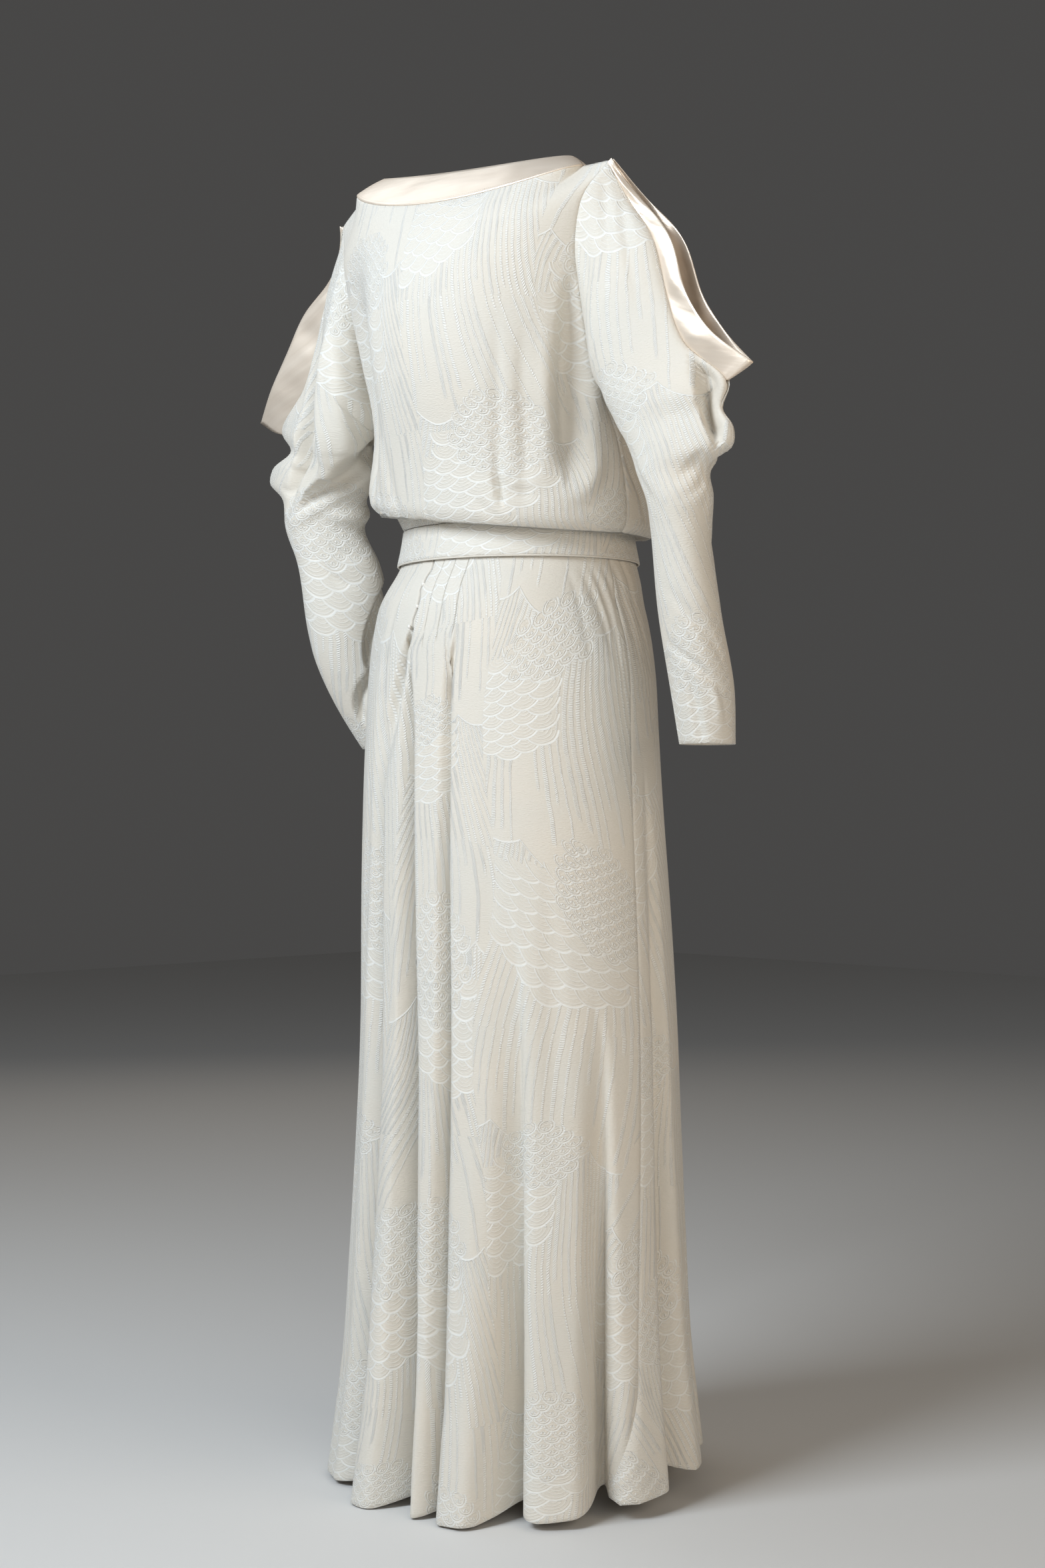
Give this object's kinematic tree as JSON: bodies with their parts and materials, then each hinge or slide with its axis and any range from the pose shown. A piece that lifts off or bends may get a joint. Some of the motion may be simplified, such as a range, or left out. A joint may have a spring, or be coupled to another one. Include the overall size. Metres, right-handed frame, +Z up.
{
  "type": "evening dress",
  "caption": "Floor-length evening dress of figured ivory crepe, boat neck and slit long sleeves edged in satin, bloused bodice, belted waist and flared skirt.",
  "frame": {"origin": "middle of the shoulder line, where the wearer's shoulders hold the dress up", "axes": "+Z up from the hem to the neck, the dress's front faces -Y, and the wearer's right side is towards -X"},
  "size_m": [0.722, 0.3824, 1.3613],
  "materials": {
    "crepe": "ivory silk crepe with a raised tone-on-tone figure, matte ground and softly lustrous motifs",
    "satin": "champagne silk satin, smooth and glossy",
    "pearl": "imitation pearl with a soft gloss"
  },
  "bodies": {
    "root": {"bodice_back": "crepe", "bodice_front": "crepe", "neckband_back": "satin", "neckband_front": "satin", "sleeve_right": "crepe", "sleeve_left": "crepe", "slit_band_right": "satin", "slit_band_left": "satin", "belt": "crepe", "belt_piping": "crepe", "skirt_back_right": "crepe", "skirt_back_left": "crepe", "skirt_front": "crepe", "button_1": "pearl", "button_2": "pearl", "button_3": "pearl"}
  },
  "joints": []
}
